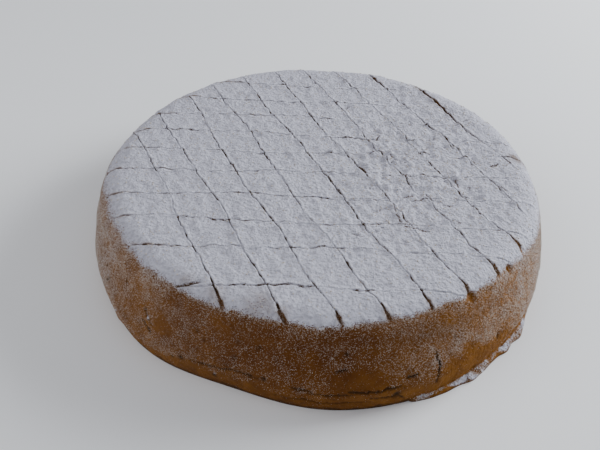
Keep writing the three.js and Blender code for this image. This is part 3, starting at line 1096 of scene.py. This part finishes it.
def powder_tone(tree, powder_bump):
    """Icing sugar, mottled and with painted shade in its hollows, warmer where thin or stained, whiter in
    painted highlights.
    """
    # Darker where the bump noise is low: the powder's own mottling and painted shade in its hollows
    powder = mixed(tree, stepped(tree, powder_bump, POWDER_MOTTLE_AND_SHADE_LEVELS), SUGAR_MOTTLE_AND_SHADE, SUGAR_COLOUR)
    # Painted highlight on the banks of the cuts and the steps between the plates
    powder = mixed(tree, stored(tree, "painted_highlight"), powder, PAINTED_HIGHLIGHT_SUGAR)
    powder = mixed(tree, stepped(tree, stored(tree, "sugar"), THIN_SUGAR_LEVELS), THIN_SUGAR, powder)
    return mixed(tree, stored(tree, "stain"), powder, STAIN_COLOUR)


def sugared_crust():
    """Browned crust under icing sugar, which covers it grain by grain."""
    material = bpy.data.materials.new("sugared_crust")
    material.use_nodes = True
    tree = material.node_tree
    surface = tree.nodes["Principled BSDF"]
    # One noise gives both the bump and the powder's colour, so the powder's hollows carry painted shade
    powder_bump = noise_of(tree, POWDER_CLOUDS, roughness=POWDER_CLOUD_ROUGHNESS)
    left_over = sums(tree, "SUBTRACT", stored(tree, "sugar"), cells_of(tree, DUST_GRAINS))
    thickness = ranged(tree, stored(tree, "sugar"), SEE_THROUGH_LEVELS, to=(SEE_THROUGH_COVER, 1))
    cover = sums(tree, "MULTIPLY", stepped(tree, left_over, DUST_GRAIN_EDGE), thickness)
    colour = mixed(tree, cover, crust_tone(tree), powder_tone(tree, powder_bump))
    tree.links.new(colour, surface.inputs["Base Color"])
    roughness = ranged(tree, cover, to=(CRUST_ROUGHNESS, POWDER_ROUGHNESS))
    tree.links.new(roughness, surface.inputs["Roughness"])
    surface.inputs["Specular IOR Level"].default_value = CRUST_SPECULAR
    bump = tree.nodes.new("ShaderNodeBump")
    bump.inputs["Strength"].default_value = BUMP_STRENGTH
    bump.inputs["Distance"].default_value = BUMP_DISTANCE
    grains = sums(tree, "MULTIPLY", cover, GRAIN_RELIEF)
    tree.links.new(sums(tree, "ADD", powder_bump, grains), bump.inputs["Height"])
    tree.links.new(bump.outputs["Normal"], surface.inputs["Normal"])
    return material


pie.data.materials.append(sugared_crust())
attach(pie, "root")
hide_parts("pie")

# Sugar grains on the wall
# Loose grains of icing sugar that rolled off the top and stuck to the baked wall,
# thickest where the dust is thick and missing from the bare patches.
GRAIN_COUNT = 48000
GRAIN_SIZE = (0.09, 0.24)
GRAIN_SUNK = 0.2
GRAINS_ABOVE = (1.0, 1.8)
LIP_GRAINS = 0.3
GRAIN_SEED = 3
TETRAHEDRON = np.array([(1, 1, 1), (1, -1, -1), (-1, 1, -1), (-1, -1, 1)]) / np.sqrt(3)
TETRAHEDRON_FACES = np.array([(0, 1, 2), (0, 2, 3), (0, 3, 1), (1, 3, 2)])
LOOSE_SUGAR_DARK = (0.5, 0.43, 0.37, 1)
LOOSE_SUGAR_LIGHT = (0.68, 0.62, 0.57, 1)
LOOSE_SUGAR_CLOUDS = 300
LOOSE_SUGAR_ROUGHNESS = 0.9
LOOSE_SUGAR_SPECULAR = 0.1


def random_turns(draw, count):
    """Rotation matrices spread evenly over all directions."""
    q = draw.normal(size=(count, 4))
    w, x, y, z = (q / np.linalg.norm(q, axis=1, keepdims=True)).T
    return np.stack([
        np.stack([1 - 2 * (y * y + z * z), 2 * (x * y - z * w), 2 * (x * z + y * w)], -1),
        np.stack([2 * (x * y + z * w), 1 - 2 * (x * x + z * z), 2 * (y * z - x * w)], -1),
        np.stack([2 * (x * z - y * w), 2 * (y * z + x * w), 1 - 2 * (x * x + y * y)], -1),
    ], 1)


def scattered(draw, count, weight, shape, shape_faces, sizes, sunk):
    """Copies of a small closed shape on the skin, by a weight for each point, partly sunk into it."""
    corners = places[triangles]
    first_side = corners[:, 1] - corners[:, 0]
    second_side = corners[:, 2] - corners[:, 0]
    normals = np.cross(first_side, second_side)
    areas = np.linalg.norm(normals, axis=1)
    chance = areas * weight[triangles].mean(1)
    chosen = draw.choice(len(triangles), count, p=chance / chance.sum())
    a, b = draw.uniform(size=(2, count))
    folded = a + b > 1
    a = np.where(folded, 1 - a, a)[:, None]
    b = np.where(folded, 1 - b, b)[:, None]
    spots = corners[chosen, 0] + a * first_side[chosen] + b * second_side[chosen]
    upward = normals[chosen] / areas[chosen][:, None]
    size = sizes[0] + (sizes[1] - sizes[0]) * draw.uniform(size=count) ** 2
    turned = np.einsum("nij,kj->nki", random_turns(draw, count), shape) * size[:, None, None]
    copies = spots[:, None] + turned + upward[:, None] * (size * (1 - sunk) / 2)[:, None, None]
    copies[..., 2] = np.maximum(copies[..., 2], 0)
    copy_faces = shape_faces[None] + (np.arange(count) * len(shape))[:, None, None]
    return copies.reshape(-1, 3), copy_faces.reshape(-1, 3)


def loose_sugar():
    """Matt icing sugar, slightly browned by the crust that it lies on."""
    material = bpy.data.materials.new("loose_sugar")
    material.use_nodes = True
    tree = material.node_tree
    surface = tree.nodes["Principled BSDF"]
    tint = mixed(tree, noise_of(tree, LOOSE_SUGAR_CLOUDS), LOOSE_SUGAR_DARK, LOOSE_SUGAR_LIGHT)
    tree.links.new(tint, surface.inputs["Base Color"])
    surface.inputs["Roughness"].default_value = LOOSE_SUGAR_ROUGHNESS
    surface.inputs["Specular IOR Level"].default_value = LOOSE_SUGAR_SPECULAR
    return material


grain_draw = np.random.default_rng(GRAIN_SEED)
grain_weight = dust * (1 - top_cover) * (1 - on_lip) + LIP_GRAINS * np.clip(lip_dust, 0, 1)
grain_weight = grain_weight * smooth(height, *GRAINS_ABOVE) * (1 - bare)
grain_places, grain_faces = scattered(
    grain_draw, GRAIN_COUNT, grain_weight, TETRAHEDRON, TETRAHEDRON_FACES, GRAIN_SIZE, GRAIN_SUNK)
grains = mesh_piece("sugar_grains", grain_places, grain_faces, smooth_faces=False)
sugar_finish = loose_sugar()
grains.data.materials.append(sugar_finish)
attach(grains, "root")

# Sugar clumps on the top
# Small clods of caked icing sugar, pushed up by the knife and left lying on the powder,
# with more of them in the crackled patch and few in the open cuts.
CLUMP_COUNT = 5000
CLUMP_SIZE = (0.2, 0.6)
CLUMP_SUNK = 0.9
CLUMPS_EVERYWHERE = 0.4
CLUMP_SEED = 4
OCTAHEDRON = np.array([(1, 0, 0), (0, 1, 0), (-1, 0, 0), (0, -1, 0), (0, 0, 1), (0, 0, -1)])
OCTAHEDRON_FACES = np.array(
    [(0, 1, 4), (1, 2, 4), (2, 3, 4), (3, 0, 4), (1, 0, 5), (2, 1, 5), (3, 2, 5), (0, 3, 5)])

clump_draw = np.random.default_rng(CLUMP_SEED)
clump_weight = np.clip(top_cover, 0, 1) * (1 - scorch) * (CLUMPS_EVERYWHERE + np.clip(patch, 0, 1))
clump_places, clump_faces = scattered(
    clump_draw, CLUMP_COUNT, clump_weight, OCTAHEDRON, OCTAHEDRON_FACES, CLUMP_SIZE, CLUMP_SUNK)
clumps = mesh_piece("sugar_clumps", clump_places, clump_faces)
clumps.data.materials.append(sugar_finish)
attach(clumps, "root")
